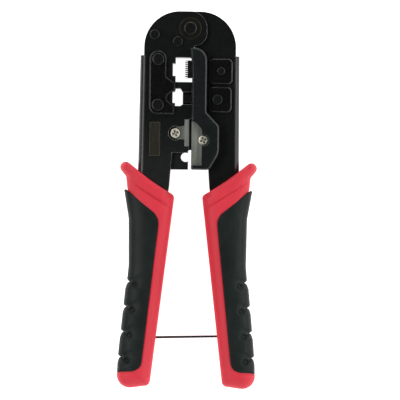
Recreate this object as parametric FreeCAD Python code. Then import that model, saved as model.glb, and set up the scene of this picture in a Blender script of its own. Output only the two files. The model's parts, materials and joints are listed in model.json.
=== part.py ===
"""RJ45 crimping tool, lying on its back: +X right, +Y towards the head, +Z up through the front face.

Every shape is drawn about the main pivot (x = 0, y = 0), symmetric about the mid plane z = MID_Z,
and moved along Y at the end, so that the whole tool is centred on its resting face.
"""
import FreeCAD, Part
import math
import os

V = FreeCAD.Vector

# ---- driving dimensions, mm ----
HEAD_TOP = 8.5                      # pivot to the flat top of the head
HANDLE_BOTTOM = 180.34              # pivot to the end of the handles
THICKNESS = 24.0                    # front to back, over the grips
SHEET = 2.0                         # pressed steel of both arms
FIXED_WIDTH = 20.0                  # outside of the fixed arm's channel
CHEEK_GAP = 0.2                     # running gap between the arms' cheeks
CLEARANCE = 0.05                    # running fit of a pin in its hole

MID_Z = THICKNESS / 2
THROUGH = (-2.0, THICKNESS + 4.0)    # past the tool, back and front
FIXED_FRONT = MID_Z + FIXED_WIDTH / 2
FIXED_BACK = MID_Z - FIXED_WIDTH / 2
MOVING_FRONT = FIXED_FRONT - SHEET - CHEEK_GAP
MOVING_BACK = FIXED_BACK + SHEET + CHEEK_GAP
FIXED_INSIDE = (FIXED_BACK + SHEET, FIXED_FRONT - SHEET)
FIXED_BACK_CHEEK = (FIXED_BACK, FIXED_BACK + SHEET)
MOVING_INSIDE = (MOVING_BACK + SHEET, MOVING_FRONT - SHEET)
PIVOT_Y = (HANDLE_BOTTOM - HEAD_TOP) / 2

# arms
HEAD_HALF = 23.0                    # half width of the round head
HEAD_RADIUS = 18.0
WEB_TOP = -13.7                     # where the folded side wall starts
WEB_HALF_TOP = 24.8
WEB_HALF_LOW = 25.2
GUARD_Y = -66.0
TANG_END = -118.0
TANG_HALF = 26.0
BEND_RADIUS = 3.0                   # outside of the fold between cheek and side wall
LOBE_RADIUS = 8.45                  # round the pivot, on the fixed arm's cheeks
HIDDEN_LOBE_RADIUS = 7.0            # round the pivot, on the moving arm's cheeks
NEST_EDGE_X = 0.3                   # right edge of the nest block
BLADE_EDGE_X = 0.0                  # cutting edge of the fixed blade
CHEEK_EDGE_X = 2.0                  # right edge of the fixed cheeks above the blade, under the carrier

# pivot and rivets
PIVOT_RADIUS = 2.6
PIVOT_HEAD = (3.3, 1.6)             # radius, height
WASHER = (5.5, 0.25)                # radius, height
WASHER_BEVEL = 0.1
SLEEVE_RADIUS = 3.6
HEAD_RIVET = (-17.8, -3.3)
ANCHOR_RIVET = (-6.2, -6.5)
NEST_RIVETS = [(-15.8, -15.6), (-15.8, -38.5)]
RIVET_HEAD = (2.5, 1.2)
NEST_RIVET_HEAD = (3.0, 1.3)
NEST_RIVET_BACK = 0.8               # head height at the back
PUNCH_RIVET_HEAD = 0.9              # head height
RIM = 0.45                          # share of a rivet head's height that is rounded
RIVET_SHANK = 1.5
SPACER_RADIUS = 3.0

# torsion spring
SPRING_RADIUS = 5.0
SPRING_WIRE = 0.6
SPRING_PITCH = 1.1                  # close wound: each ring overlaps the next a little
SPRING_RINGS = 7
SPRING_LEG = 9.0
SPRING_LEG_RADIUS = 0.5
SPRING_LEG_TURNS = (8.0, 16.0)      # degrees each leg is turned towards +X: left leg, right leg

# nest, punches and blades
NEST_PLATE = 1.6
NEST_BACK_PLATE = 1.0
PLATE_BEVEL = 0.6
BACK_PLATE_BEVEL = 0.4
COMB_TIP_X = -2.3
COMB_Y = (-24.8, -16.0)
COMB_TEETH = 8
COMB_PITCH = 1.02
COMB_TOOTH = 0.5
COMB_DEPTH = 1.2
STRAIN_TIP_X = -1.0
STRAIN_Y = (-24.2, -16.6)
PUNCH_BODY_X = (6.5, 21.0)
PUNCH_8P_BODY_Y = (-27.8, -15.0)
PUNCH_6P_BODY_Y = (-41.8, -29.2)
PUNCH_SPLIT_Z = 12.4                # comb in front, strain-relief punch behind
PUNCH_6P_TIP_X = -3.3
PUNCH_6P_Y = (-37.2, -32.9)
COVER = 1.6
COVER_8P = (9.45, 21.4, -27.8, -14.9)       # left, right, bottom, top
COVER_6P = (9.4, 21.1, -41.9, -29.0)
COVER_CORNER = 2.4
COVER_BEVEL = 0.5
PUNCH_RIVETS = [(15.6, -21.2, 2.0), (14.0, -35.5, 2.5)]     # x, y, head radius
BLADE = 0.9
BLADE_LIFT = 0.15                   # moving blade over the fixed cheek
CARRIER = 2.0
BLADE_BACK = FIXED_FRONT + BLADE_LIFT
CARRIER_BACK = BLADE_BACK + BLADE
CARRIER_FRONT = CARRIER_BACK + CARRIER
CARRIER_BEVEL = 0.6
BLADE_GRIND = 0.7                   # width of the bevel along the moving blade's edge
FIXED_BLADE = 1.0
SCREW_HEAD_RADIUS = 2.5
SCREW_HEAD = 0.9
SCREW_ROUND = 0.6                   # rounding of the head's rim
SCREW_ROOM = 0.3                    # gap round the head
SCREW_SEAT_RADIUS = 3.5             # hollow in the cheek round the fixed screw
SCREW_SHANK = 1.3
CROSS = (3.2, 0.9, 0.6)             # recess: length, width, depth
CROSS_TURN = 20.0                   # degrees
FIXED_SCREW = (-6.8, -52.5)
MOVING_SCREW = (7.2, -55.9)
STRIPPER = 6.0
STRIPPER_NOTCH = (-1.6, -64.5, 2.3)         # x, y, radius
STRIPPER_MOUTH_Y = (-66.2, -62.3)           # where the notch opens to the right
NAME_PLATE = 0.4
NAME_PLATE_X = (-19.7, -14.5)
NAME_PLATE_Y = (-63.9, -47.1)

# handles
SHELL_INSET = 0.4                   # red shell lies this far under the grips, front and back
GRIP_WALL = 1.5
HANDLE_EDGE = 1.7
NOTCHES = 4
NOTCH_FIRST = (31.5, -126.4)
NOTCH_STEP = (1.2, -12.6)
NOTCH_RADIUS = 2.0
DIMPLE_OFFSET = (-4.9, -2.4)
DIMPLE_RADIUS = 1.5
DIMPLE_SINK = 0.3                   # depth of each dimple's centre below the grip

# lock wire, drawn with its hinge in the left handle
WIRE_HINGE = (-18.5, -155.0)
WIRE_LENGTH = 35.6
WIRE_ANGLE = 1.6                    # degrees above +X
WIRE_RADIUS = 0.6
WIRE_HOOK = 4.0
WIRE_EYE_WALL = 1.0
WIRE_PIN_RADIUS = 0.7
WIRE_PIN = 12.0
SLOT_HALF = 2.9                     # half height of the handles' wire slots

TOLERANCE = 1e-4

# ---- outlines: (x, y, corner radius) ----
CAVITIES = [                        # both plug cavities, each open to the right
    [(20.0, -14.6, 0), (-7.1, -14.6, 0), (-7.1, -17.6, 0), (-8.5, -17.6, 0), (-8.5, -23.9, 0),
     (-7.1, -23.9, 0), (-7.1, -26.9, 0), (20.0, -26.9, 0)],
    [(20.0, -31.9, 0), (-3.4, -31.9, 0), (-4.6, -30.1, 0), (-7.25, -30.1, 0), (-7.25, -31.7, 0),
     (-8.5, -31.7, 0), (-8.5, -37.4, 0), (-7.25, -37.4, 0), (-7.25, -38.9, 0), (-4.6, -38.9, 0),
     (-3.4, -38.1, 0), (20.0, -38.1, 0)],
]
BACK_CLOSURES = [                   # rear cheek only: behind the 6P punch, and behind the cable blades
    [(-3.4, -30.5, 0), (CHEEK_EDGE_X, -30.5, 0), (CHEEK_EDGE_X, -39.5, 0), (-3.4, -39.5, 0)],
    [(-2.0, -44.0, 0), (CHEEK_EDGE_X, -44.0, 0), (CHEEK_EDGE_X, -60.8, 0), (-2.0, -60.8, 0)],
]
WEB_EDGE = [                        # outer edge of an arm, from the tang up to the head (right side)
    (TANG_HALF, TANG_END, 0), (WEB_HALF_LOW, GUARD_Y, 0), (WEB_HALF_TOP, WEB_TOP, 0),
    (HEAD_HALF, WEB_TOP, 0), (HEAD_HALF, HEAD_TOP, HEAD_RADIUS),
]
NEST_PLATE_OUTLINE = [
    (-20.2, -11.2, 4.3), (-11.5, -11.2, 4.3), (-11.7, -24.4, 1.5), (-7.05, -27.4, 1.2),
    (-7.05, -31.0, 1.2), (-11.1, -33.6, 1.2), (-11.1, -36.2, 1.2), (-7.4, -38.9, 1.0),
    (-7.4, -43.2, 0.8), (-20.2, -43.2, 4.0),
]
CARRIER_OUTLINE = [
    (0.2, -9.7, 0.8), (8.5, -9.7, 6.4), (8.5, -41.9, 1.5), (14.9, -48.7, 2.8), (15.0, -62.4, 9.0),
    (10.3, -70.7, 3.0), (1.2, -70.7, 0.8), (1.2, -20.0, 0),
]
CARRIER_STEP_OUTLINE = [            # stands on the moving cheek, clear of the fixed cheek when closed
    (4.5, -14.0, 0), (8.2, -14.0, 3.0), (8.2, -41.9, 1.5), (14.6, -48.7, 2.8), (14.7, -61.4, 4.0),
    (11.3, -67.6, 1.5), (10.3, -67.6, 0), (7.8, -41.0, 0),
]
FIXED_BLADE_OUTLINE = [
    (-2.15, -45.7, 0), (BLADE_EDGE_X, -45.7, 0), (BLADE_EDGE_X, -58.9, 0), (-2.15, -58.9, 0),
    (-2.15, -55.4, 0.8), (-6.8, -55.4, 0), (-6.8, -49.6, 0), (-2.15, -48.9, 0.8),
]
MOVING_BLADE_OUTLINE = [
    (1.2, -46.6, 0), (5.0, -46.6, 0), (13.0, -50.2, 2.0), (13.0, -62.0, 2.0), (7.2, -68.4, 0),
    (1.2, -68.4, 0),
]
BLADE_WINDOW_OUTLINE = [            # left of this the carrier is cut away, so the blade shows
    (-1.0, -46.8, 0), (3.0, -46.8, 1.0), (6.4, -50.6, 4.0), (6.3, -68.4, 0), (-1.0, -68.4, 0),
]
STRIPPER_OUTLINE = [
    (-14.0, -54.5, 0), (-1.2, -54.5, 0), (-0.3, -62.3, 0), (-0.3, -70.7, 0.4), (-14.0, -70.7, 0.6),
]
HANDLE_OUTLINE = [
    (49.2, -52.0, 2.7), (31.2, -74.5, 2.0), (30.8, -78.6, 0.8), (32.1, -80.7, 0.8), (29.7, -95.0, 25.0),
    (29.5, -119.0, 40.0), (35.4, -181.28, 6.5), (18.2, -178.9, 2.6), (6.9, -83.75, 2.4), (19.2, -76.0, 20.0),
]
GRIP_REGION = [
    (36.5, -76.2, 0), (14.5, -95.0, 9.0), (22.8, -171.2, 5.0), (36.0, -173.4, 0), (45.0, -173.4, 0),
    (45.0, -76.2, 0),
]
RIGHT_SLOT = [                      # pocket for the free end of the wire, open on the inner side
    (5.0, -120.5, 0), (20.5, -120.5, 2.0), (26.0, -139.0, 5.0), (25.0, -158.0, 2.5), (5.0, -160.5, 0),
]
LEFT_SLOT = [                       # room for the wire to swing about its hinge
    (-21.2, -157.6, 2.3), (-21.2, -152.6, 2.3), (-16.9, -150.6, 1.0), (-10.0, -138.5, 0),
    (-7.0, -151.0, 0), (-7.0, -171.0, 0), (-17.0, -159.2, 1.0),
]


# ---- helpers ----
def corner(corners, i):
    """Start, middle and end of the arc that rounds one corner, or the bare corner three times."""
    x, y, radius = corners[i]
    here = V(x, y, 0)
    if radius == 0:
        return here, here, here
    to_before = (V(*corners[i - 1][:2], 0) - here).normalize()
    to_after = (V(*corners[(i + 1) % len(corners)][:2], 0) - here).normalize()
    half = to_before.getAngle(to_after) / 2
    reach = radius / math.tan(half)
    inward = (to_before + to_after).normalize()
    middle = here + inward * (radius / math.sin(half) - radius)
    return here + to_before * reach, middle, here + to_after * reach


def rounded_wire(corners):
    """Closed wire through the corners, each rounded by its own radius."""
    arcs = [corner(corners, i) for i in range(len(corners))]
    edges = []
    for i, (start, middle, end) in enumerate(arcs):
        if start.distanceToPoint(end) > 1e-6:
            edges.append(Part.Arc(start, middle, end).toShape())
        following = arcs[(i + 1) % len(arcs)][0]
        if end.distanceToPoint(following) > 1e-6:
            edges.append(Part.LineSegment(end, following).toShape())
    return Part.Wire(edges)


def slab(corners, low, high):
    """Prism of a rounded outline between two heights."""
    face = Part.Face(rounded_wire(corners))
    face.translate(V(0, 0, low))
    return face.extrude(V(0, 0, high - low))


def mirrored(corners):
    """The same outline on the other side of the pivot."""
    return [(-x, y, radius) for x, y, radius in corners]


def cylinder(x, y, radius, low, high):
    return Part.makeCylinder(radius, high - low, V(x, y, low))


def softened(shape, radius, wanted):
    """Fillet the edges for which wanted(edge) is true."""
    return shape.makeFillet(radius, [edge for edge in shape.Edges if wanted(edge)])


def bevelled(shape, size, level):
    """Chamfer the edges that lie in the plane z = level."""
    return shape.makeChamfer(size, [edge for edge in shape.Edges if lies_at(edge, level)])


def lies_at(edge, level):
    box = edge.BoundBox
    return abs(box.ZMin - level) < TOLERANCE and abs(box.ZMax - level) < TOLERANCE


def rivet_head(x, y, radius, level, height):
    """Flat head with a rounded rim, standing on a level; with a negative height it points backwards."""
    top = level + height
    head = cylinder(x, y, radius, min(level, top), max(level, top))
    return softened(head, abs(height) * RIM, lambda edge: lies_at(edge, top))


def rivet(x, y, shank, head, low, high, back_height=None):
    """Rivet through the stack between low and high, with a head outside each end."""
    radius, height = head
    front = rivet_head(x, y, radius, high, height)
    back = rivet_head(x, y, radius, low, -(back_height or height))
    return cylinder(x, y, shank, low, high).fuse([front, back]).removeSplitter()


def drilled(shape, places, radius):
    """Through holes at the given places."""
    for x, y in places:
        shape = shape.cut(cylinder(x, y, radius, *THROUGH))
    return shape


def cross_recess(x, y, top):
    """Cutter for a cross-head screw's recess."""
    length, width, depth = CROSS
    low = top - depth
    arm = Part.makeBox(length, width, depth, V(-length / 2, -width / 2, low))
    across = Part.makeBox(width, length, depth, V(-width / 2, -length / 2, low))
    recess = arm.fuse(across)
    recess.rotate(V(0, 0, 0), V(0, 0, 1), CROSS_TURN)
    recess.translate(V(x, y, 0))
    return recess


def screw(x, y, head_low, shank_low):
    """Pan-head screw: shank below, rounded head with a cross recess on top."""
    top = head_low + SCREW_HEAD
    head = cylinder(x, y, SCREW_HEAD_RADIUS, head_low, top)
    head = softened(head, SCREW_ROUND, lambda edge: lies_at(edge, top))
    shank = cylinder(x, y, SCREW_SHANK, shank_low, head_low)
    return head.cut(cross_recess(x, y, top)).fuse(shank).removeSplitter()


# ---- arms ----
def fold_cutters(side, back, front):
    """Strips that round the folds between the cheeks and the side wall of one arm."""
    wall = [(WEB_HALF_TOP, WEB_TOP), (WEB_HALF_LOW, GUARD_Y), (TANG_HALF, TANG_END)]
    cutters = []
    for (x, y), (next_x, next_y) in zip(wall, wall[1:]):
        for level, up in ((front, 1), (back, -1)):
            flat = V(side * (x - BEND_RADIUS), y, level)
            upright = V(side * x, y, level - up * BEND_RADIUS)
            centre = V(side * (x - BEND_RADIUS), y, level - up * BEND_RADIUS)
            middle = centre + V(side, 0, up) * (BEND_RADIUS / math.sqrt(2))
            beyond = [upright + V(side, 0, 0), V(side * (x + 1), y, level + up), flat + V(0, 0, up)]
            outline = Part.makePolygon([upright] + beyond + [flat])
            fold = Part.Wire([Part.Arc(flat, middle, upright).toShape()] + outline.Edges)
            cutters.append(Part.Face(fold).extrude(V(side * (next_x - x), next_y - y, 0)))
    return cutters


def channel(outline, side, back, front):
    """Folded channel: both cheeks and the outer wall, its two long folds rounded."""
    body = slab(outline, back, front).cut(slab(channel_inside(side), back + SHEET, front - SHEET))
    return body.cut(fold_cutters(side, back, front))


def channel_inside(side):
    """Everything inside the folded wall, as an outline to cut between the cheeks."""
    inner = [
        (HEAD_HALF + 20, WEB_TOP, 0), (HEAD_HALF + 20, HEAD_TOP + 20, 0), (-60, HEAD_TOP + 20, 0),
        (-60, TANG_END - 20, 0), (TANG_HALF - SHEET, TANG_END - 20, 0),
        (TANG_HALF - SHEET, TANG_END, 0), (WEB_HALF_LOW - SHEET, GUARD_Y, 0),
        (WEB_HALF_TOP - SHEET, WEB_TOP, 0),
    ]
    return inner if side > 0 else mirrored(inner)


def left_frame():
    outline = mirrored(WEB_EDGE) + [
        (LOBE_RADIUS, HEAD_TOP, LOBE_RADIUS - 0.05), (LOBE_RADIUS, -8.6, 6.2), (CHEEK_EDGE_X, -8.6, 0),
        (CHEEK_EDGE_X, -43.5, 0.6), (BLADE_EDGE_X, -45.7, 0), (BLADE_EDGE_X, -62.2, 1.8), (-8.4, -62.2, 0),
        (-8.6, -64.5, 0), (-9.65, -79.0, 0), (-15.0, TANG_END, 0),
    ]
    frame = channel(outline, -1, FIXED_BACK, FIXED_FRONT)
    frame = frame.cut([slab(cavity, 0, THICKNESS) for cavity in CAVITIES])
    frame = frame.fuse([slab(closure, *FIXED_BACK_CHEEK) for closure in BACK_CLOSURES]).removeSplitter()
    blade_seat = FIXED_FRONT - FIXED_BLADE
    frame = frame.cut(cylinder(*FIXED_SCREW, SCREW_SEAT_RADIUS, blade_seat, THICKNESS))
    frame = frame.cut(slab(FIXED_BLADE_OUTLINE, blade_seat, THICKNESS))
    frame = drilled(frame, [(0, 0)], PIVOT_RADIUS)
    frame = drilled(frame, [HEAD_RIVET, ANCHOR_RIVET] + NEST_RIVETS, RIVET_SHANK)
    return frame.cut(cylinder(*FIXED_SCREW, SCREW_SHANK, MID_Z, THICKNESS))


def right_frame():
    outline = WEB_EDGE + [
        (0, HEAD_TOP, 0), (0, -8.0, 0), (6.0, -11.0, 2.0), (6.0, -44.0, 4.0), (9.5, -56.0, 4.0),
        (9.9, -70.7, 0), (10.45, -79.0, 0), (15.0, TANG_END, 0),
    ]
    frame = channel(outline, 1, MOVING_BACK, MOVING_FRONT)
    lobe = cylinder(0, 0, HIDDEN_LOBE_RADIUS, MOVING_BACK, MOVING_FRONT)
    lobe = lobe.cut(cylinder(0, 0, HIDDEN_LOBE_RADIUS + 1, *MOVING_INSIDE))
    frame = frame.fuse(lobe).removeSplitter()
    frame = drilled(frame, [(0, 0)], PIVOT_RADIUS + CLEARANCE)
    return drilled(frame, [(x, y) for x, y, _ in PUNCH_RIVETS], RIVET_SHANK)


# ---- pivot, rivets and spring ----
def pivot_pin():
    _, washer_height = WASHER
    low = FIXED_BACK - washer_height
    high = FIXED_FRONT + washer_height
    return rivet(0, 0, PIVOT_RADIUS, PIVOT_HEAD, low, high)


def pivot_washers():
    radius, height = WASHER
    front = cylinder(0, 0, radius, FIXED_FRONT, FIXED_FRONT + height)
    front = bevelled(front, WASHER_BEVEL, FIXED_FRONT + height)
    back = cylinder(0, 0, radius, FIXED_BACK - height, FIXED_BACK)
    back = bevelled(back, WASHER_BEVEL, FIXED_BACK - height)
    return drilled(Part.makeCompound([front, back]), [(0, 0)], PIVOT_RADIUS)


def pivot_sleeve():
    low, high = MOVING_INSIDE
    sleeve = cylinder(0, 0, SLEEVE_RADIUS, low + CLEARANCE, high - CLEARANCE)
    return drilled(sleeve, [(0, 0)], PIVOT_RADIUS)


def head_rivet():
    return rivet(*HEAD_RIVET, RIVET_SHANK, RIVET_HEAD, FIXED_BACK, FIXED_FRONT)


def head_spacer_sleeve():
    return drilled(cylinder(*HEAD_RIVET, SPACER_RADIUS, *FIXED_INSIDE), [HEAD_RIVET], RIVET_SHANK)


def spring_anchor_rivet():
    return rivet(*ANCHOR_RIVET, RIVET_SHANK, RIVET_HEAD, FIXED_BACK, FIXED_FRONT)


def nest_rivets():
    low = FIXED_BACK - NEST_BACK_PLATE
    high = FIXED_FRONT + NEST_PLATE
    return Part.makeCompound(
        [rivet(x, y, RIVET_SHANK, NEST_RIVET_HEAD, low, high, NEST_RIVET_BACK) for x, y in NEST_RIVETS])


def spring_leg(x, level, turn):
    """Straight leg leaving the coil at one side, towards the handles."""
    leg = Part.makeCylinder(SPRING_LEG_RADIUS, SPRING_LEG, V(x, 0, level), V(0, -1, 0))
    leg.rotate(V(x, 0, level), V(0, 0, 1), turn)
    return leg


def torsion_spring():
    """Close-wound coil round the sleeve, a leg by the anchor rivet and one by the moving arm."""
    first = MID_Z - SPRING_PITCH * (SPRING_RINGS - 1) / 2
    levels = [first + i * SPRING_PITCH for i in range(SPRING_RINGS)]
    rings = [Part.makeTorus(SPRING_RADIUS, SPRING_WIRE, V(0, 0, level)) for level in levels]
    left_turn, right_turn = SPRING_LEG_TURNS
    left_leg = spring_leg(-SPRING_RADIUS, levels[0], left_turn)
    right_leg = spring_leg(SPRING_RADIUS, levels[-1], right_turn)
    return rings[0].fuse(rings[1:] + [left_leg, right_leg])


# ---- nest ----
def die_nest_block():
    outline = [
        (-20.4, -43.5, 1.0), (-20.4, -11.4, 1.0), (NEST_EDGE_X, -11.4, 0.5), (NEST_EDGE_X, -41.0, 0.5),
        (-7.0, -43.5, 0.5),
    ]
    block = slab(outline, *FIXED_INSIDE).cut([slab(cavity, 0, THICKNESS) for cavity in CAVITIES])
    return drilled(block, NEST_RIVETS, RIVET_SHANK)


def nest_face_plate():
    top = FIXED_FRONT + NEST_PLATE
    plate = bevelled(slab(NEST_PLATE_OUTLINE, FIXED_FRONT, top), PLATE_BEVEL, top)
    return drilled(plate, NEST_RIVETS, RIVET_SHANK)


def nest_back_plate():
    low = FIXED_BACK - NEST_BACK_PLATE
    plate = bevelled(slab(NEST_PLATE_OUTLINE, low, FIXED_BACK), BACK_PLATE_BEVEL, low)
    return drilled(plate, NEST_RIVETS, RIVET_SHANK)


# ---- punches ----
def punch(neck, body, rivet_place, low, high):
    """Narrow neck that enters the cavity, on a wide body riveted between the moving cheeks."""
    solid = slab(body, low, high).fuse(slab(neck, low, high)).removeSplitter()
    return drilled(solid, [rivet_place], RIVET_SHANK)


def punch_body(span):
    left, right = PUNCH_BODY_X
    low, high = span
    return [(left, high, 0.5), (right, high, 1.5), (right, low, 1.5), (left, low, 0.5)]


def punch_neck(tip, span):
    low, high = span
    inside_body = PUNCH_BODY_X[0] + 2
    return [(tip, high, 0.3), (inside_body, high, 0), (inside_body, low, 0), (tip, low, 0.3)]


def contact_comb():
    neck = punch_neck(COMB_TIP_X, COMB_Y)
    comb = punch(neck, punch_body(PUNCH_8P_BODY_Y), PUNCH_RIVETS[0][:2], PUNCH_SPLIT_Z, MOVING_INSIDE[1])
    first = sum(COMB_Y) / 2 - COMB_PITCH * COMB_TEETH / 2
    gap = COMB_PITCH - COMB_TOOTH
    for i in range(COMB_TEETH + 1):
        corner_of_gap = V(COMB_TIP_X - 1, first + i * COMB_PITCH - gap / 2, PUNCH_SPLIT_Z - 1)
        comb = comb.cut(Part.makeBox(COMB_DEPTH + 1, gap, THICKNESS, corner_of_gap))
    return comb


def strain_punch_8p():
    neck = punch_neck(STRAIN_TIP_X, STRAIN_Y)
    body = punch_body(PUNCH_8P_BODY_Y)
    return punch(neck, body, PUNCH_RIVETS[0][:2], MOVING_INSIDE[0], PUNCH_SPLIT_Z)


def punch_6p():
    neck = punch_neck(PUNCH_6P_TIP_X, PUNCH_6P_Y)
    return punch(neck, punch_body(PUNCH_6P_BODY_Y), PUNCH_RIVETS[1][:2], *MOVING_INSIDE)


def punch_cover(edges, place):
    """Raised square plate over a punch's rivet, its front edge bevelled."""
    left, right, bottom, top = edges
    outline = [(left, top, COVER_CORNER), (right, top, COVER_CORNER), (right, bottom, COVER_CORNER),
               (left, bottom, COVER_CORNER)]
    front = MOVING_FRONT + COVER
    cover = bevelled(slab(outline, MOVING_FRONT, front), COVER_BEVEL, front)
    return drilled(cover, [place], RIVET_SHANK)


def punch_cover_8p():
    return punch_cover(COVER_8P, PUNCH_RIVETS[0][:2])


def punch_cover_6p():
    return punch_cover(COVER_6P, PUNCH_RIVETS[1][:2])


def punch_rivets():
    high = MOVING_FRONT + COVER
    return Part.makeCompound(
        [rivet(x, y, RIVET_SHANK, (radius, PUNCH_RIVET_HEAD), MOVING_BACK, high)
         for x, y, radius in PUNCH_RIVETS])


# ---- blades ----
def fixed_blade():
    low = FIXED_FRONT - FIXED_BLADE
    blade = slab(FIXED_BLADE_OUTLINE, low, FIXED_FRONT)
    sunk = cylinder(*FIXED_SCREW, SCREW_HEAD_RADIUS + SCREW_ROOM, FIXED_FRONT - SCREW_HEAD, THICKNESS)
    return drilled(blade.cut(sunk), [FIXED_SCREW], SCREW_SHANK)


def fixed_blade_screw():
    return screw(*FIXED_SCREW, FIXED_FRONT - SCREW_HEAD, FIXED_INSIDE[1])


def blade_carrier():
    plate = bevelled(slab(CARRIER_OUTLINE, CARRIER_BACK, CARRIER_FRONT), CARRIER_BEVEL, CARRIER_FRONT)
    step = slab(CARRIER_STEP_OUTLINE, MOVING_FRONT, CARRIER_BACK)
    carrier = plate.fuse(step).removeSplitter()
    carrier = carrier.cut(slab(BLADE_WINDOW_OUTLINE, BLADE_BACK, THROUGH[1]))
    carrier = carrier.cut(slab(MOVING_BLADE_OUTLINE, BLADE_BACK, CARRIER_BACK))
    carrier = carrier.cut(cylinder(*MOVING_SCREW, SCREW_HEAD_RADIUS + SCREW_ROOM, BLADE_BACK, THROUGH[1]))
    return drilled(carrier, [MOVING_SCREW], SCREW_SHANK)


def moving_blade():
    """Straight blade, ground to a bevel along its left edge."""
    blade = slab(MOVING_BLADE_OUTLINE, BLADE_BACK, CARRIER_BACK)
    blade = drilled(blade, [MOVING_SCREW], SCREW_SHANK)
    left = min(x for x, _, _ in MOVING_BLADE_OUTLINE)

    def is_edge(edge):
        box = edge.BoundBox
        return (abs(box.XMin - left) < TOLERANCE and box.XLength < TOLERANCE
                and lies_at(edge, CARRIER_BACK))

    return blade.makeChamfer(BLADE_GRIND, [edge for edge in blade.Edges if is_edge(edge)])


def moving_blade_screw():
    return screw(*MOVING_SCREW, CARRIER_BACK, BLADE_BACK)


def stripper_block():
    """Bar across the channel's lower end, with a round notch for a cable, open to the right."""
    top = FIXED_INSIDE[1]
    block = slab(STRIPPER_OUTLINE, top - STRIPPER, top)
    x, y, radius = STRIPPER_NOTCH
    low, high = STRIPPER_MOUTH_Y
    mouth = [(x, low, 0), (x + 2 * radius, low, 0), (x + 2 * radius, high, 0), (x, high, 0)]
    return block.cut([cylinder(x, y, radius, 0, THICKNESS), slab(mouth, 0, THICKNESS)])


def name_plate():
    left, right = NAME_PLATE_X
    low, high = NAME_PLATE_Y
    outline = [(left, high, 0.4), (right, high, 0.4), (right, low, 0.4), (left, low, 0.4)]
    return slab(outline, FIXED_FRONT, FIXED_FRONT + NAME_PLATE)


# ---- handles ----
def handle_blank(low, high):
    """Right handle's full outside between two heights, its front and back edges rounded."""
    blank = slab(HANDLE_OUTLINE, low, high)
    return softened(blank, HANDLE_EDGE, lambda edge: lies_at(edge, low) or lies_at(edge, high))


def grip_room():
    """Plan region of the soft grip, less the core that carries it."""
    core_wire = rounded_wire(HANDLE_OUTLINE).makeOffset2D(-GRIP_WALL)
    core_face = Part.Face(core_wire)
    core_face.translate(V(0, 0, GRIP_WALL))
    core = core_face.extrude(V(0, 0, THICKNESS - 2 * GRIP_WALL))
    return slab(GRIP_REGION, *THROUGH).cut(core)


def notch_cutters():
    """Grooves across the grip's outer edge, each ending in a round dimple front and back."""
    cutters = []
    for i in range(NOTCHES):
        x = NOTCH_FIRST[0] + i * NOTCH_STEP[0]
        y = NOTCH_FIRST[1] + i * NOTCH_STEP[1]
        cutters.append(cylinder(x, y, NOTCH_RADIUS, *THROUGH))
        for level in (DIMPLE_SINK, THICKNESS - DIMPLE_SINK):
            dimple = V(x + DIMPLE_OFFSET[0], y + DIMPLE_OFFSET[1], level)
            cutters.append(Part.makeSphere(DIMPLE_RADIUS, dimple))
    return cutters


def right_grip():
    return handle_blank(0, THICKNESS).common(grip_room()).cut(notch_cutters())


def right_shell():
    return handle_blank(SHELL_INSET, THICKNESS - SHELL_INSET).cut(grip_room())


def mirror(shape):
    return shape.mirror(V(0, 0, 0), V(1, 0, 0))


def slot(outline):
    return slab(outline, MID_Z - SLOT_HALF, MID_Z + SLOT_HALF)


def right_handle_shell(frame):
    return right_shell().cut(frame).cut(slot(RIGHT_SLOT))


def left_handle_shell(frame):
    shell = mirror(right_shell()).cut(frame).cut(slot(LEFT_SLOT))
    half = WIRE_PIN / 2
    return shell.cut(cylinder(*WIRE_HINGE, WIRE_PIN_RADIUS, MID_Z - half, MID_Z + half))


def lock_wire_pin():
    half = WIRE_PIN / 2
    return cylinder(*WIRE_HINGE, WIRE_PIN_RADIUS, MID_Z - half, MID_Z + half)


def lock_wire():
    """Round wire: an eye on the hinge pin, a straight run, and a hook bent across at the free end."""
    eye_inner = WIRE_PIN_RADIUS + CLEARANCE
    run_start = eye_inner + WIRE_EYE_WALL / 2
    eye = Part.makeCylinder(eye_inner + WIRE_EYE_WALL, 2 * WIRE_RADIUS, V(0, 0, -WIRE_RADIUS))
    run = Part.makeCylinder(WIRE_RADIUS, WIRE_LENGTH - run_start, V(run_start, 0, 0), V(1, 0, 0))
    hook = Part.makeCylinder(WIRE_RADIUS, WIRE_HOOK, V(WIRE_LENGTH, 0, -WIRE_HOOK / 2))
    wire = eye.fuse([run, hook]).removeSplitter()
    wire = wire.cut(Part.makeCylinder(eye_inner, WIRE_HOOK, V(0, 0, -WIRE_HOOK / 2)))
    turned = FreeCAD.Rotation(V(0, 0, 1), WIRE_ANGLE)
    wire.Placement = FreeCAD.Placement(V(*WIRE_HINGE, MID_Z), turned)
    return wire


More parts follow.
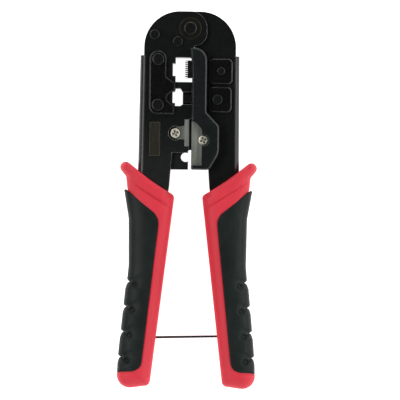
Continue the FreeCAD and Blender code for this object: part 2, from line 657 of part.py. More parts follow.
# ---- assembly ----
def build():
    """Every node's shape, drawn about the pivot."""
    left = left_frame()
    right = right_frame()
    return {
        "left_frame": left,
        "right_frame": right,
        "pivot_pin": pivot_pin(),
        "pivot_washers": pivot_washers(),
        "pivot_sleeve": pivot_sleeve(),
        "torsion_spring": torsion_spring(),
        "head_rivet": head_rivet(),
        "head_spacer_sleeve": head_spacer_sleeve(),
        "spring_anchor_rivet": spring_anchor_rivet(),
        "die_nest_block": die_nest_block(),
        "nest_face_plate": nest_face_plate(),
        "nest_back_plate": nest_back_plate(),
        "nest_rivets": nest_rivets(),
        "contact_comb": contact_comb(),
        "strain_punch_8p": strain_punch_8p(),
        "punch_6p": punch_6p(),
        "punch_cover_8p": punch_cover_8p(),
        "punch_cover_6p": punch_cover_6p(),
        "punch_rivets": punch_rivets(),
        "fixed_blade": fixed_blade(),
        "fixed_blade_screw": fixed_blade_screw(),
        "blade_carrier": blade_carrier(),
        "moving_blade": moving_blade(),
        "moving_blade_screw": moving_blade_screw(),
        "stripper_block": stripper_block(),
        "name_plate": name_plate(),
        "left_handle_shell": left_handle_shell(left),
        "left_handle_grip": mirror(right_grip()),
        "right_handle_shell": right_handle_shell(right),
        "right_handle_grip": right_grip(),
        "lock_wire_pin": lock_wire_pin(),
        "lock_wire": lock_wire(),
    }


def main():
    os.makedirs("parts", exist_ok=True)
    for name, shape in build().items():
        shape.translate(V(0, PIVOT_Y, 0))
        shape.exportStep("parts/" + name + ".step")


main()
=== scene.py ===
"""Looks of an RJ45 crimping tool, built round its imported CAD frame.

Outlines are in millimetres about the main pivot (x to the right arm, y towards the head) and are
turned into metres in the frame's own axes by place().
"""
import json
import math

import bmesh
import bpy
import numpy as np
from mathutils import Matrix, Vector


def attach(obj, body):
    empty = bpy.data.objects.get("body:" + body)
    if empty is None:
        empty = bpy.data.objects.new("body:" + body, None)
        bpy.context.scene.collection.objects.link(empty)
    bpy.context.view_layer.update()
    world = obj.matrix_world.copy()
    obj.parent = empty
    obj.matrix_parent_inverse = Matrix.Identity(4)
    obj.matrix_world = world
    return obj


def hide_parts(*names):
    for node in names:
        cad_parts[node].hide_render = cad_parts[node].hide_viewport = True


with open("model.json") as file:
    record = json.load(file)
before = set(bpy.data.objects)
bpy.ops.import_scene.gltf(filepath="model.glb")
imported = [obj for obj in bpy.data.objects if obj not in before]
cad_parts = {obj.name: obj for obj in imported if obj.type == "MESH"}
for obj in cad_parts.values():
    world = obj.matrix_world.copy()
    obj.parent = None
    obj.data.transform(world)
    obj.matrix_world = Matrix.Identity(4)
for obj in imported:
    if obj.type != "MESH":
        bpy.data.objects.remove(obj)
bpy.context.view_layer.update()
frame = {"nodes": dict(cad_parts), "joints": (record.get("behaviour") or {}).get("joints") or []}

MM = 0.001
JOINTS = {joint["name"]: joint for joint in frame["joints"]}
PIVOT = Vector(JOINTS["handle_close"]["pos_m"])
FIXED = "fixed_arm"
MOVING = "moving_arm"

# ---- camera, as the tool is seen from the front ----
VIEW_CENTRE = (5.94, -85.78)        # mm from the pivot
VIEW_WIDTH = 0.2                    # metres across the picture, measured near the tool's front
VIEW_HEIGHT = 0.022                 # height above the ground, in metres, where it is measured
CAMERA_DISTANCE = 3.0               # metres from there up to the camera
CAMERA_ROLL = math.radians(0.76)
SENSOR = 36.0                       # mm across

# ---- painted light and shade on steel: axis, then where in mm from the pivot it starts and is complete ----
PAINTED_LIGHT_SPAN = ("Y", -45.0, -70.0)  # left arm, painted paler towards its handle as a highlight
PAINTED_SHADE_SPAN = ("X", -1.8, -3.4)      # fixed blade, painted darker towards its screw as shade

# ---- studio ----
LAMPS = [                           # name, place and size in metres, watts
    ("left", (-0.85, 0.15, 0.9), (1.6, 0.4), 10.8),
    ("right", (1.05, 0.0, 0.65), (1.6, 0.5), 7.0),
    ("head_end", (0.0, 1.1, 0.75), (0.8, 0.4), 3.5),
    ("handle_end", (0.0, -1.1, 0.75), (0.8, 0.4), 2.5),
]
SKY_LEFT = 0.05                     # brightness near the horizon
SKY_RIGHT = 0.9
SKY_BLEND = 0.6                     # how far to each side the one fades into the other
OVERHEAD = 0.07                     # what is left of it straight above
DIMMING = (0.5, 0.85)               # height of the direction where the dimming starts and is complete
FLOOR_HALF = 3.0                    # metres
FLOOR_GLOW = 1.0

# ---- meshes ----
SHELL_ROWS = 260
GRIP_ROWS = 340
COLUMNS = 56                        # across a shell or a grip
CROWDING = 0.85                     # 0 spaces rows and columns evenly, 1 crowds them most at the ends
ARC_STEPS = 10                      # round each corner of an outline
EDGE_POINTS = 700                   # along the grip's outer edge, where the notches are cut
WELD = 1e-6                         # metres within which corners become one
BEVEL_SAMPLES = 6

# ---- grain of the surfaces: noise scale per metre, detail, roughness ----
OXIDE_MOTTLE = (220, 6, 0.6)
OXIDE_SHEEN = (700, 5, 0.6)
OXIDE_GRAIN = (3500, 3, 0.7)
GRINDING = (900, 5, 0.65)
PLATING_MOTTLE = (900, 4, 0.6)
PLATING_GRAIN = (2500, 3, 0.6)
PLASTIC_FLOW = (45, 4, 0.55)
PLASTIC_SHEEN = (900, 4, 0.6)
PLASTIC_GRAIN = (2600, 3, 0.6)
RUBBER_PATCHES = (150, 6, 0.65)
RUBBER_SHEEN = (1100, 4, 0.6)
RUBBER_GRAIN = (3200, 2, 0.6)
FLOOR_GRAIN = (30, 4, 0.5)

# ---- how much the grain is drawn out along each axis ----
EVEN = (1, 1, 1)
BLADE_LINES = (1, 0.06, 1)
LABEL_LINES = (1, 0.2, 1)
FLOW_LINES = (1, 0.35, 1)
RUBBED_LINES = (1, 0.6, 1)

# ---- masks ----
WEAR_AND_HIGHLIGHT_WIDTH = 0.35                   # mm along an oxide edge that is lighter: bare metal where the oxide has rubbed off, and a painted highlight
PALE_EDGE_WIDTH = 0.4                     # mm of paler colour along an edge of ground steel
RECESS_SHADE_REACH = 1.2                    # mm across a recess that is painted with shade
EDGE_TURN = (0.75, 0.99)            # cosine of the bevelled normal's turn: at an edge, on a face
OPENNESS = (0.45, 0.85)             # share of light that gets in: down in a recess, in the open

# ---- handles, mm ----
SIDE_HALF = 5.0                     # half height of the side walls before they round over
GUARD_EDGE_HALF = 10.2              # the same along the straight top of the guard
SHELL_HALF = 11.4                   # half thickness of the red shell
GRIP_HALF = 11.95                   # half thickness over the soft grip
ROUNDING = 8.5                      # how far in from the outline the faces go on rising
GRIP_ROUNDING = 12.5                # the same on the soft grip
GUARD_ROUNDING = 2.4                # the same along the guard's top
ROUNDING_POWER = 2.3                # 2 would round the faces over as an ellipse
GRIP_STEP = 0.55                    # width of the rounded step at the grip's inner border
UNDER_GRIP = 1.3                    # how much lower the shell lies under the grip
UNDER_GRIP_REACH = 1.2              # how far in from the grip's edge it is fully lowered
GRIP_SUNK = 0.25                    # how far the grip's border dips below the shell's face
GRIP_OVERHANG = 5.0                 # the lowered region reaches this far past the outer edge
RIDGE_WIDTH = 6.6                   # rounded band along the top of the guard
RIDGE_RISE = 0.5
RIDGE_FADE = 1.5                    # the band runs out this near the shell's sides
CREASE_DEPTH = 0.75                 # crease along the lower side of that band
CREASE_WIDTH = 0.6
CREASE_FADE = 6.0                   # the crease runs out this near the shell's sides
GUARD_TIP = (49.3, -52.1, 2.75)
GUARD_BEND = (19.2, -76.0, 0)       # the guard's top edge is bent slightly here
GUARD_SAG = 0.75                    # how far the bend lies below a straight edge
GUARD_SAG_REACH = 12.0              # how far down the shell the rows follow that bend
GUARD_LINE = [(0.0, -88.1), GUARD_BEND[:2], GUARD_TIP[:2]]
INNER_TOP = (6.9, -83.75, 2.4)
INNER_BOTTOM = (18.2, -178.9, 2.6)
OUTER_BOTTOM = (35.4, -181.28, 6.5)
SHELL_OUTER = [
    GUARD_TIP, (31.2, -74.5, 2.0), (30.7, -79.5, 2.0), (27.4, -95.0, 25.0), (27.2, -119.0, 40.0),
    (32.0, -168.5, 1.5), (34.6, -173.0, 3.0), OUTER_BOTTOM,
]
INNER_EDGE = [INNER_TOP, INNER_BOTTOM]
GRIP_INNER = [(14.3, -94.6, 8.0), (22.7, -171.3, 5.5)]
GRIP_TOP_RIGHT = (32.4, -79.8, 0.7)
GRIP_OUTER = [GRIP_TOP_RIGHT, (29.7, -95.0, 25.0), (29.4, -119.0, 40.0), (34.6, -173.2, 0.8)]

# ---- finger notches in the grip's outer edge, mm ----
NOTCHES = 4
NOTCH_FIRST = (29.8, -126.8)
NOTCH_STEP = (1.17, -12.6)
NOTCH_DEPTH = 1.0
NOTCH_WIDTH = 0.6
LOBE_INSET = 0.7                    # a lobe starts this far in, just below its notch,
LOBE_SLOPE = 3.2                    # and is back out over this length
LOBE_SWELL = 0.45                   # how far the row of lobes stands out,
SWELL_LEAD = 2.0                    # from this far above the first notch,
SWELL_RISE = 6.0                    # growing over this length,
SWELL_FALL = 8.0                    # and fading over this one at the grip's bottom
GROOVE_START = (2.0, 1.3)           # from the notch
GROOVE_END = (1.0, 0.6)             # from the dimple
GROOVE_DEPTH = 0.45
GROOVE_WIDTH = 0.5
RELIEF_FADE = 0.8                   # grooves and dimples run out this near the outer edge
DIMPLE_OFFSET = (-3.8, -2.1)        # from the notch
DIMPLE_RADIUS = 1.0                 # middle of the ring
DIMPLE_WIDTH = 0.5
DIMPLE_DEPTH = 0.9

# ---- wire slots in the handles, mm ----
SLOT_HALF = 2.9                     # half the height of a slot
RIGHT_SLOT = [(5.0, -120.5), (20.5, -120.5), (25.6, -139.0), (24.6, -158.0), (5.0, -160.5)]
LEFT_SLOT = [(-21.0, -157.4), (-21.0, -152.8), (-16.9, -150.6), (-10.0, -138.5), (-7.0, -151.0),
             (-7.0, -171.0), (-17.0, -159.2)]


def place(x, y, z):
    """Millimetres about the pivot to metres in the frame; z is measured from the tool's mid plane."""
    return (x * MM + PIVOT.x, y * MM + PIVOT.y, z * MM + PIVOT.z)


# ---------------------------------------------------------------- outlines
def rounded_path(corners):
    """Points along the corners (x, y, radius), each inner corner rounded; the ends stay as they are."""
    points = [np.array(corners[0][:2], float)]
    for before, corner, after in zip(corners, corners[1:], corners[2:]):
        here = np.array(corner[:2], float)
        back = np.array(before[:2], float) - here
        on = np.array(after[:2], float) - here
        back /= np.linalg.norm(back)
        on /= np.linalg.norm(on)
        half = math.acos(float(np.clip(back @ on, -1, 1))) / 2
        reach = corner[2] / math.tan(half)
        inward = (back + on) / np.linalg.norm(back + on)
        centre = here + inward * corner[2] / math.sin(half)
        start = here + back * reach - centre
        end = here + on * reach - centre
        sweep = math.pi - 2 * half
        for i in range(ARC_STEPS + 1):
            t = i / ARC_STEPS
            arm = (start * math.sin((1 - t) * sweep) + end * math.sin(t * sweep)) / math.sin(sweep)
            points.append(centre + arm)
    points.append(np.array(corners[-1][:2], float))
    return np.array(points)


def along(path, fractions):
    """Points at the given fractions of a path's length."""
    steps = np.linalg.norm(np.diff(path, axis=0), axis=1)
    length = np.concatenate([[0], np.cumsum(steps)])
    at = np.asarray(fractions) * length[-1]
    return np.column_stack([np.interp(at, length, path[:, i]) for i in range(2)])


def distance_to(path, points):
    """Shortest distance from each point to a path."""
    shape = points.shape[:-1]
    flat = points.reshape(-1, 2)
    best = np.full(len(flat), np.inf)
    for start, end in zip(path, path[1:]):
        run = end - start
        length_squared = float(run @ run)
        if length_squared == 0:
            continue
        t = np.clip((flat - start) @ run / length_squared, 0, 1)
        best = np.minimum(best, np.linalg.norm(flat - start - t[:, None] * run, axis=1))
    return best.reshape(shape)


def crowded(count):
    """Fractions from 0 to 1, closer together near both ends."""
    s = np.linspace(0, 1, count)
    return s - CROWDING * np.sin(2 * math.pi * s) / (2 * math.pi)


def plan_grid(left, right, rows):
    """Grid of plan points whose rows run from the left path to the right path."""
    down = crowded(rows)
    across = crowded(COLUMNS)[None, :, None]
    left_points = along(left, down)[:, None, :]
    right_points = along(right, down)[:, None, :]
    return left_points * (1 - across) + right_points * across


# ---------------------------------------------------------------- mesh helpers
def mesh_object(name, vertices, faces, smooth=True):
    """New object whose doubled corners are welded and whose faces all look outwards."""
    mesh = bpy.data.meshes.new(name)
    mesh.from_pydata([tuple(v) for v in vertices], [], faces)
    bm = bmesh.new()
    bm.from_mesh(mesh)
    bmesh.ops.remove_doubles(bm, verts=bm.verts, dist=WELD)
    bmesh.ops.recalc_face_normals(bm, faces=bm.faces)
    bm.to_mesh(mesh)
    bm.free()
    for polygon in mesh.polygons:
        polygon.use_smooth = smooth
    piece = bpy.data.objects.new(name, mesh)
    bpy.context.collection.objects.link(piece)
    return piece


def pillow(name, grid, height, side):
    """Closed body over a plan grid: a front, the same back, and a wall round the rim."""
    rows, columns = grid.shape[:2]
    front = [place(side * x, y, z) for (x, y), z in zip(grid.reshape(-1, 2), height.ravel())]
    back = [place(side * x, y, -z) for (x, y), z in zip(grid.reshape(-1, 2), height.ravel())]
    count = rows * columns
    faces = []
    for i in range(rows - 1):
        for j in range(columns - 1):
            a = i * columns + j
            quad = (a, a + 1, a + columns + 1, a + columns)
            faces.append(quad)
            faces.append(tuple(k + count for k in reversed(quad)))
    rim = list(range(columns))
    rim += [i * columns + columns - 1 for i in range(1, rows)]
    rim += [(rows - 1) * columns + j for j in range(columns - 2, -1, -1)]
    rim += [i * columns for i in range(rows - 2, 0, -1)]
    for a, b in zip(rim, rim[1:] + rim[:1]):
        faces.append((a, b, b + count, a + count))
    return mesh_object(name, front + back, faces)


def prism(name, outline, low, high):
    """Closed prism over a plan outline, used as a cutter."""
    count = len(outline)
    vertices = [place(x, y, low) for x, y in outline] + [place(x, y, high) for x, y in outline]
    faces = [tuple(range(count)), tuple(range(2 * count - 1, count - 1, -1))]
    faces += [(i, (i + 1) % count, (i + 1) % count + count, i + count) for i in range(count)]
    return mesh_object(name, vertices, faces, smooth=False)


def cut_away(piece, cutter):
    """Subtract the cutter for good, and delete it."""
    modifier = piece.modifiers.new("cut", "BOOLEAN")
    modifier.operation = "DIFFERENCE"
    modifier.solver = "MANIFOLD"
    modifier.object = cutter
    bpy.context.view_layer.update()
    cut = bpy.data.meshes.new_from_object(piece.evaluated_get(bpy.context.evaluated_depsgraph_get()))
    piece.modifiers.clear()
    piece.data = cut
    bpy.data.objects.remove(cutter)


def finish_piece(piece, body, material, slot, *nodes):
    """Give a piece its material and its body, and hide the CAD nodes it stands for."""
    piece.data.materials.clear()
    piece.data.materials.append(material)
    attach(piece, body)
    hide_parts(*nodes)


# ---------------------------------------------------------------- handles
def rise(distance, low, high, width=ROUNDING):
    """Height of a face that rounds over towards its outline."""
    t = np.clip(distance / width, 0, 1)
    return low + (high - low) * (1 - (1 - t) ** ROUNDING_POWER) ** (1 / ROUNDING_POWER)


def midway(a, b):
    """Sharp corner halfway between two others."""
    return ((a[0] + b[0]) / 2, (a[1] + b[1]) / 2, 0)


def inside(outline, points):
    """Whether each point lies within a closed outline."""
    x, y = points[..., 0], points[..., 1]
    crossings = np.zeros(x.shape, bool)
    for (x0, y0), (x1, y1) in zip(outline, np.roll(outline, -1, axis=0)):
        if y0 == y1:
            continue
        at = x0 + (y - y0) * (x1 - x0) / (y1 - y0)
        crossings ^= ((y0 > y) != (y1 > y)) & (x < at)
    return crossings


def shell_grid():
    """Plan grid of the red shell, its rows running from the inner edge to the outer edge."""
    middle_bottom = midway(INNER_BOTTOM, OUTER_BOTTOM)
    inner = rounded_path([GUARD_BEND] + INNER_EDGE + [middle_bottom])[1:-1]
    outer = rounded_path([GUARD_BEND] + SHELL_OUTER + [middle_bottom])[1:-1]
    grid = plan_grid(inner, outer, SHELL_ROWS)
    across = crowded(COLUMNS)
    bow = 4 * across * (1 - across)
    fade = np.clip(1 - (grid[:1, :, 1] - grid[..., 1]) / GUARD_SAG_REACH, 0, 1)
    grid[..., 1] -= GUARD_SAG * bow * fade
    return grid


def shell_height(grid):
    """The face rounds over widely at the sides and the end, and sharply along the guard's top."""
    left, right, end = grid[1:, 0], grid[1:, -1], grid[-1]
    to_side = np.minimum(distance_to(left, grid), distance_to(right, grid))
    to_side = np.minimum(to_side, distance_to(end, grid))
    guard = distance_to(np.array(GUARD_LINE), grid)
    height = np.minimum(rise(to_side, SIDE_HALF, SHELL_HALF),
                        rise(guard, GUARD_EDGE_HALF, SHELL_HALF, GUARD_ROUNDING))
    ridge = RIDGE_RISE * np.clip(1 - ((guard - RIDGE_WIDTH / 2) / (RIDGE_WIDTH / 2)) ** 2, 0, 1)
    crease = CREASE_DEPTH * np.exp(-((guard - RIDGE_WIDTH) / CREASE_WIDTH) ** 2)
    ridge *= np.clip(to_side / RIDGE_FADE, 0, 1)
    crease *= np.clip(to_side / CREASE_FADE, 0, 1)
    grip_outline = soft_grip_outline()
    buried = np.clip(distance_to(grip_outline, grid) / UNDER_GRIP_REACH, 0, 1)
    buried *= inside(grip_outline, grid)
    return height + ridge - crease - UNDER_GRIP * buried


def red_shell(name, side):
    """Red shell of the right handle (side 1) or the left (side -1)."""
    grid = shell_grid()
    return pillow(name, grid, shell_height(grid), side)


def notch_places():
    """Where each notch meets the grip's outer edge."""
    return [(NOTCH_FIRST[0] + i * NOTCH_STEP[0], NOTCH_FIRST[1] + i * NOTCH_STEP[1])
            for i in range(NOTCHES)]


def notched(path):
    """Cut the grip's outer edge back at each notch; below it the next lobe swells out again."""
    inwards = np.zeros(len(path))
    for _, y in notch_places():
        below = y - path[:, 1]
        inwards += NOTCH_DEPTH * np.exp(-(below / NOTCH_WIDTH) ** 2)
        inwards += LOBE_INSET * np.clip(1 - below / LOBE_SLOPE, 0, 1) * (below > 0)
    swell = LOBE_SWELL * np.clip((NOTCH_FIRST[1] + SWELL_LEAD - path[:, 1]) / SWELL_RISE, 0, 1)
    swell *= np.clip((path[:, 1] - GRIP_OUTER[-1][1]) / SWELL_FALL, 0, 1)
    moved = path.copy()
    moved[:, 0] += swell - inwards
    return moved


def grip_relief(grid):
    """Depth taken out of the grip's face by the grooves and ring-shaped dimples."""
    relief = np.zeros(grid.shape[:2])
    for notch in np.array(notch_places()):
        centre = notch + DIMPLE_OFFSET
        groove = distance_to(np.array([notch + GROOVE_START, centre + GROOVE_END]), grid)
        relief += GROOVE_DEPTH * np.exp(-(groove / GROOVE_WIDTH) ** 2)
        radius = np.linalg.norm(grid - centre, axis=-1)
        relief += DIMPLE_DEPTH * np.exp(-((radius - DIMPLE_RADIUS) / DIMPLE_WIDTH) ** 2)
    return relief


def grip_edges():
    """The soft grip's inner and outer edges, from its top to its bottom."""
    top_middle = midway(GRIP_INNER[0], GRIP_TOP_RIGHT)
    bottom_middle = midway(GRIP_INNER[1], GRIP_OUTER[-1])
    inner = rounded_path([top_middle] + GRIP_INNER + [bottom_middle])[1:-1]
    outer = rounded_path([top_middle] + GRIP_OUTER + [bottom_middle])[1:-1]
    return inner, notched(along(outer, np.linspace(0, 1, EDGE_POINTS)))


def soft_grip_outline():
    """Closed outline of the part of the shell that lies under the grip."""
    inner, outer = grip_edges()
    beyond = outer + np.array([GRIP_OVERHANG, 0.0])
    return np.concatenate([inner, beyond[::-1]])


def soft_grip(name, side):
    """Soft grip of the right handle (side 1) or the left (side -1)."""
    grid = plan_grid(*grip_edges(), GRIP_ROWS)
    to_side = distance_to(grid[:, -1], grid)
    height = rise(to_side, SIDE_HALF, GRIP_HALF, GRIP_ROUNDING)
    border = np.minimum(distance_to(grid[:, 0], grid), distance_to(grid[0], grid))
    border = np.minimum(border, distance_to(grid[-1], grid))
    step = np.clip(border / GRIP_STEP, 0, 1)
    sunk = (GRIP_HALF - SHELL_HALF + GRIP_SUNK) * (1 - np.sqrt(1 - (1 - step) ** 2))
    relief = grip_relief(grid) * np.clip(to_side / RELIEF_FADE, 0, 1)
    return pillow(name, grid, height - sunk - relief, side)


# ---------------------------------------------------------------- materials
def shader(name, colour, roughness, metallic=0.0):
    """New material whose Principled node has these plain values; returns it with its nodes."""
    material = bpy.data.materials.new(name)
    material.use_nodes = True
    tree = material.node_tree
    principled = tree.nodes["Principled BSDF"]
    principled.inputs["Base Color"].default_value = (*colour, 1)
    principled.inputs["Roughness"].default_value = roughness
    principled.inputs["Metallic"].default_value = metallic
    return material, tree, principled


def noise(tree, grain, stretch=EVEN):
    """Noise of one of the grains above, over the object's own coordinates, which are metres."""
    scale, detail, rough = grain
    where = tree.nodes.new("ShaderNodeTexCoord")
    mapping = tree.nodes.new("ShaderNodeMapping")
    mapping.inputs["Scale"].default_value = stretch
    texture = tree.nodes.new("ShaderNodeTexNoise")
    texture.inputs["Scale"].default_value = scale
    texture.inputs["Detail"].default_value = detail
    texture.inputs["Roughness"].default_value = rough
    tree.links.new(where.outputs["Object"], mapping.inputs["Vector"])
    tree.links.new(mapping.outputs["Vector"], texture.inputs["Vector"])
    return texture.outputs["Fac"]


def ramp(tree, value, stops):
    """Colour ramp through (position, colour) stops."""
    node = tree.nodes.new("ShaderNodeValToRGB")
    elements = node.color_ramp.elements
    while len(elements) < len(stops):
        elements.new(0.5)
    for element, (position, colour) in zip(elements, stops):
        element.position = position
        element.color = (*colour, 1)
    tree.links.new(value, node.inputs["Fac"])
    return node.outputs["Color"]


def spread(tree, value, low, high, from_low=0.3, from_high=0.7):
    """Map a value that lies between from_low and from_high onto low to high."""
    node = tree.nodes.new("ShaderNodeMapRange")
    node.inputs["From Min"].default_value = from_low
    node.inputs["From Max"].default_value = from_high
    node.inputs["To Min"].default_value = low
    node.inputs["To Max"].default_value = high
    tree.links.new(value, node.inputs["Value"])
    return node.outputs["Result"]


def bump(tree, principled, height, distance, strength, edge_radius=0.0):
    """Bump the surface, over edges that a bevel has softened where a radius is given."""
    node = tree.nodes.new("ShaderNodeBump")
    node.inputs["Distance"].default_value = distance
    node.inputs["Strength"].default_value = strength
    tree.links.new(height, node.inputs["Height"])
    if edge_radius:
        bevel = tree.nodes.new("ShaderNodeBevel")
        bevel.samples = BEVEL_SAMPLES
        bevel.inputs["Radius"].default_value = edge_radius
        tree.links.new(bevel.outputs["Normal"], node.inputs["Normal"])
    tree.links.new(node.outputs["Normal"], principled.inputs["Normal"])


def edge_mask(tree, radius):
    """Near 1 along edges: how far a bevelled normal turns from the true one."""
    bevel = tree.nodes.new("ShaderNodeBevel")
    bevel.samples = BEVEL_SAMPLES
    bevel.inputs["Radius"].default_value = radius
    geometry = tree.nodes.new("ShaderNodeNewGeometry")
    dot = tree.nodes.new("ShaderNodeVectorMath")
    dot.operation = "DOT_PRODUCT"
    tree.links.new(bevel.outputs["Normal"], dot.inputs[0])
    tree.links.new(geometry.outputs["Normal"], dot.inputs[1])
    return spread(tree, dot.outputs["Value"], 1.0, 0.0, *EDGE_TURN)


def recess_shade_mask(tree, reach):
    """Near 1 down in narrow recesses, where shade is painted, 0 in the open."""
    occlusion = tree.nodes.new("ShaderNodeAmbientOcclusion")
    occlusion.inputs["Distance"].default_value = reach
    return spread(tree, occlusion.outputs["AO"], 1.0, 0.0, *OPENNESS)


def ramp_along(tree, axis, start, end):
    """From 0 to 1 between two places, in mm from the pivot, along one axis of the node."""
    where = tree.nodes.new("ShaderNodeTexCoord")
    split = tree.nodes.new("ShaderNodeSeparateXYZ")
    tree.links.new(where.outputs["Object"], split.inputs["Vector"])
    origin = PIVOT["XYZ".index(axis)]
    return spread(tree, split.outputs[axis], 0.0, 1.0, origin + start * MM, origin + end * MM)


def mix_colours(tree, factor, first, second):
    """Blend from first to second; each is a plain colour or another node's output."""
    node = tree.nodes.new("ShaderNodeMix")
    node.data_type = "RGBA"
    tree.links.new(factor, node.inputs["Factor"])
    for socket, value in ((node.inputs[6], first), (node.inputs[7], second)):
        if isinstance(value, tuple):
            socket.default_value = (*value, 1)
        else:
            tree.links.new(value, socket)
    return node.outputs[2]


def oxide_steel(name, dark, light, roughness, wear_and_highlight=(0.16, 0.16, 0.155), painted_light=None):
    """Black-oxide steel: mottled satin black, lighter along its edges as bare wear and a painted
    highlight, and where asked for, painted paler along a span as a highlight.
    """
    material, tree, principled = shader(name, dark, roughness)
    colour = ramp(tree, noise(tree, OXIDE_MOTTLE), [(0.3, dark), (0.7, light)])
    if painted_light:
        # painted highlight: paler along the span towards the handle
        colour = mix_colours(tree, ramp_along(tree, *PAINTED_LIGHT_SPAN), colour, painted_light)
    # lighter along the edges: bare metal wear and a painted highlight together
    colour = mix_colours(tree, edge_mask(tree, WEAR_AND_HIGHLIGHT_WIDTH * MM), colour, wear_and_highlight)
    tree.links.new(colour, principled.inputs["Base Color"])
    rough = spread(tree, noise(tree, OXIDE_SHEEN), roughness - 0.04, roughness + 0.05)
    tree.links.new(rough, principled.inputs["Roughness"])
    bump(tree, principled, noise(tree, OXIDE_GRAIN), 0.01 * MM, strength=0.3, edge_radius=0.25 * MM)
    return material


def ground_steel(name, colour, roughness, stretch, shade=0.75, metallic=0.6, edge=None, painted_shade=None):
    """Ground steel: fine lines along one way, and where asked for, paler edges or a side painted darker
    as shade.
    """
    material, tree, principled = shader(name, colour, roughness, metallic)
    lines = noise(tree, GRINDING, stretch)
    dark = tuple(shade * c for c in colour)
    ground = ramp(tree, lines, [(0.35, dark), (0.65, colour)])
    if painted_shade:
        # painted shade: darker along the span towards the screw
        ground = mix_colours(tree, ramp_along(tree, *PAINTED_SHADE_SPAN), ground, painted_shade)
    if edge:
        ground = mix_colours(tree, edge_mask(tree, PALE_EDGE_WIDTH * MM), ground, edge)
    tree.links.new(ground, principled.inputs["Base Color"])
    rough = spread(tree, lines, roughness - 0.06, roughness + 0.12)
    tree.links.new(rough, principled.inputs["Roughness"])
    bump(tree, principled, lines, 0.02 * MM, strength=0.4, edge_radius=0.1 * MM)
    return material


def screw_steel(name, colour, recess, roughness):
    """Plated screw: bright, with painted shade down in its cross recess."""
    material, tree, principled = shader(name, colour, roughness, 0.3)
    dull = tuple(0.7 * c for c in colour)
    plating = ramp(tree, noise(tree, PLATING_MOTTLE), [(0.3, dull), (0.7, colour)])
    # painted shade: darker down in the recess, where less light gets in
    plating = mix_colours(tree, recess_shade_mask(tree, RECESS_SHADE_REACH * MM), plating, recess)
    tree.links.new(plating, principled.inputs["Base Color"])
    bump(tree, principled, noise(tree, PLATING_GRAIN), 0.02 * MM, strength=0.4, edge_radius=0.15 * MM)
    return material


def moulded_plastic(name, colour, deep, roughness):
    """Moulded handle plastic: even colour with faint flow marks and a spark-eroded grain."""
    material, tree, principled = shader(name, colour, roughness)
    principled.inputs["Specular IOR Level"].default_value = 0.3
    flow = noise(tree, PLASTIC_FLOW, FLOW_LINES)
    tree.links.new(ramp(tree, flow, [(0.3, deep), (0.7, colour)]), principled.inputs["Base Color"])
    rough = spread(tree, noise(tree, PLASTIC_SHEEN), roughness - 0.06, roughness + 0.08)
    tree.links.new(rough, principled.inputs["Roughness"])
    bump(tree, principled, noise(tree, PLASTIC_GRAIN), 0.03 * MM, strength=0.55)
    return material


def soft_rubber(name, colour, pale, roughness):
    """Soft-touch grip: matte, finely grained, paler where it has been rubbed."""
    material, tree, principled = shader(name, colour, roughness)
    principled.inputs["Specular IOR Level"].default_value = 0.13
    rubbed = noise(tree, RUBBER_PATCHES, RUBBED_LINES)
    tree.links.new(ramp(tree, rubbed, [(0.35, colour), (0.75, pale)]), principled.inputs["Base Color"])
    rough = spread(tree, noise(tree, RUBBER_SHEEN), roughness - 0.07, roughness + 0.07)
    tree.links.new(rough, principled.inputs["Roughness"])
    bump(tree, principled, noise(tree, RUBBER_GRAIN), 0.04 * MM, strength=0.6)
    return material


def floor_material():
    """Pale light table: lit by the lamps, and glowing a little itself."""
    material, tree, principled = shader("floor_pale", (0.86, 0.86, 0.86), 0.85)
    pale = ramp(tree, noise(tree, FLOOR_GRAIN), [(0.3, (0.85, 0.85, 0.85)), (0.7, (0.88, 0.88, 0.88))])
    tree.links.new(pale, principled.inputs["Base Color"])
    principled.inputs["Emission Color"].default_value = (1, 1, 1, 1)
    principled.inputs["Emission Strength"].default_value = FLOOR_GLOW
    return material


# the edge colours below are bare wear and a painted highlight together
BLACK = oxide_steel("black_oxide", (0.0012, 0.0016, 0.0016), (0.0028, 0.0033, 0.0033), 0.32)
# the frame's arm is painted paler towards its handle as a highlight
FRAME_BLACK = oxide_steel("frame_black", (0.0012, 0.0016, 0.0016), (0.0028, 0.0033, 0.0033), 0.32,
                          wear_and_highlight=(0.34, 0.34, 0.33), painted_light=(0.009, 0.0105, 0.01))
WASHER_BROWN = oxide_steel("oiled_washer", (0.0035, 0.003, 0.0018), (0.0085, 0.0072, 0.0042), 0.32,
                           wear_and_highlight=(0.05, 0.043, 0.028))
STRIPPER_BLACK = oxide_steel("stripper_black", (0.006, 0.007, 0.0065), (0.009, 0.0105, 0.01), 0.32)
PLATE_BLACK = oxide_steel("plate_black", (0.0005, 0.0007, 0.0007), (0.0014, 0.0016, 0.0016), 0.28)
CARRIER_BLACK = oxide_steel("grey_oxide", (0.0028, 0.0048, 0.0046), (0.0065, 0.0095, 0.0092), 0.32,
                            wear_and_highlight=(0.26, 0.27, 0.26))
TOOL_STEEL = oxide_steel("tool_steel", (0.006, 0.006, 0.006), (0.014, 0.014, 0.014), 0.3)
WIRE_BLACK = oxide_steel("wire_black", (0.002, 0.002, 0.002), (0.004, 0.004, 0.004), 0.5,
                         wear_and_highlight=(0.004, 0.004, 0.004))
BLADE_STEEL = ground_steel("blade_steel", (0.3, 0.32, 0.28), 0.4, BLADE_LINES)
# its stem is painted darker towards the screw as shade
FIXED_STEEL = ground_steel("fixed_blade_steel", (0.33, 0.345, 0.32), 0.4, BLADE_LINES,
                           painted_shade=(0.15, 0.165, 0.13))
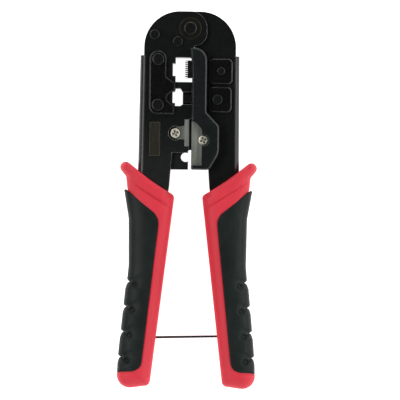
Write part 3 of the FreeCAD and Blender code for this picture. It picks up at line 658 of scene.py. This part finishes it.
# the second colour is painted shade in the cross recess
SCREW_STEEL = screw_steel("screw_steel", (0.72, 0.68, 0.56), (0.02, 0.017, 0.012), 0.3)
SPRING_STEEL = ground_steel("spring_steel", (0.35, 0.35, 0.35), 0.35, EVEN)
LABEL_BRONZE = ground_steel("label_bronze", (0.013, 0.012, 0.0055), 0.5, LABEL_LINES,
                            shade=0.6, metallic=0.3, edge=(0.2, 0.17, 0.1))
RED = moulded_plastic("red_plastic", (0.72, 0.038, 0.06), (0.64, 0.031, 0.05), 0.55)
RUBBER = soft_rubber("grip_rubber", (0.009, 0.013, 0.012), (0.0155, 0.0215, 0.02), 0.45)

NODE_MATERIALS = {
    "fixed_blade": FIXED_STEEL, "moving_blade": BLADE_STEEL, "fixed_blade_screw": SCREW_STEEL,
    "moving_blade_screw": SCREW_STEEL, "torsion_spring": SPRING_STEEL, "name_plate": LABEL_BRONZE,
    "contact_comb": TOOL_STEEL, "strain_punch_8p": TOOL_STEEL, "punch_6p": TOOL_STEEL,
    "pivot_washers": WASHER_BROWN, "left_frame": FRAME_BLACK, "stripper_block": STRIPPER_BLACK,
    "nest_face_plate": PLATE_BLACK, "punch_cover_8p": PLATE_BLACK, "punch_cover_6p": PLATE_BLACK,
    "blade_carrier": CARRIER_BLACK, "lock_wire": WIRE_BLACK, "lock_wire_pin": WIRE_BLACK,
}


def dress_cad_nodes():
    """Give every CAD node its material."""
    for name, node in frame["nodes"].items():
        node.data.materials.clear()
        node.data.materials.append(NODE_MATERIALS.get(name, BLACK))


def build_handles():
    """The red shells and soft grips, with room cut in both for the lock wire."""
    slots = {"right": (1, MOVING, RIGHT_SLOT), "left": (-1, FIXED, LEFT_SLOT)}
    for word, (side, body, slot) in slots.items():
        shell = red_shell(word + "_shell", side)
        grip = soft_grip(word + "_grip", side)
        for piece in (shell, grip):
            cut_away(piece, prism("slot_cutter", slot, -SLOT_HALF, SLOT_HALF))
        finish_piece(shell, body, RED, "red_plastic", word + "_handle_shell")
        finish_piece(grip, body, RUBBER, "black_rubber", word + "_handle_grip")


# ---------------------------------------------------------------- stage
def build_floor():
    """Square floor at the height of the ground."""
    ways = [(-1, -1), (1, -1), (1, 1), (-1, 1)]
    corners = [(x * FLOOR_HALF, y * FLOOR_HALF, 0) for x, y in ways]
    floor = mesh_object("floor", corners, [(0, 1, 2, 3)], smooth=False)
    floor.data.materials.append(floor_material())


def area_light(name, position, size, power):
    """Softbox aimed at the middle of the tool."""
    light = bpy.data.lights.new(name, "AREA")
    light.shape = "RECTANGLE"
    light.size, light.size_y = size
    light.energy = power
    lamp = bpy.data.objects.new(name, light)
    lamp.location = position
    lamp.rotation_euler = (-Vector(position)).to_track_quat("-Z", "Y").to_euler()
    bpy.context.collection.objects.link(lamp)


def studio_world():
    """Brighter on the right than on the left, and dim overhead, so that flat dark faces stay dark."""
    world = bpy.data.worlds.new("studio")
    world.use_nodes = True
    tree = world.node_tree
    where = tree.nodes.new("ShaderNodeTexCoord")
    split = tree.nodes.new("ShaderNodeSeparateXYZ")
    tree.links.new(where.outputs["Generated"], split.inputs["Vector"])
    sides = spread(tree, split.outputs["X"], SKY_LEFT, SKY_RIGHT, -SKY_BLEND, SKY_BLEND)
    dimmed = spread(tree, split.outputs["Z"], 1.0, OVERHEAD, *DIMMING)
    strength = tree.nodes.new("ShaderNodeMath")
    strength.operation = "MULTIPLY"
    tree.links.new(sides, strength.inputs[0])
    tree.links.new(dimmed, strength.inputs[1])
    background = tree.nodes["Background"]
    background.inputs["Color"].default_value = (1, 1, 1, 1)
    tree.links.new(strength.outputs["Value"], background.inputs["Strength"])
    bpy.context.scene.world = world


def build_lights():
    """The four softboxes and the sky."""
    for lamp in LAMPS:
        area_light(*lamp)
    studio_world()


def build_camera():
    """Long lens straight above the tool, turned slightly."""
    data = bpy.data.cameras.new("camera")
    data.sensor_width = SENSOR
    data.lens = SENSOR * CAMERA_DISTANCE / VIEW_WIDTH
    camera = bpy.data.objects.new("camera", data)
    x, y, _ = place(*VIEW_CENTRE, 0)
    camera.location = (x, y, VIEW_HEIGHT + CAMERA_DISTANCE)
    camera.rotation_euler = (0, 0, CAMERA_ROLL)
    bpy.context.collection.objects.link(camera)
    bpy.context.scene.camera = camera


dress_cad_nodes()
build_handles()
build_floor()
build_lights()
build_camera()
bpy.context.scene.view_settings.view_transform = "Standard"
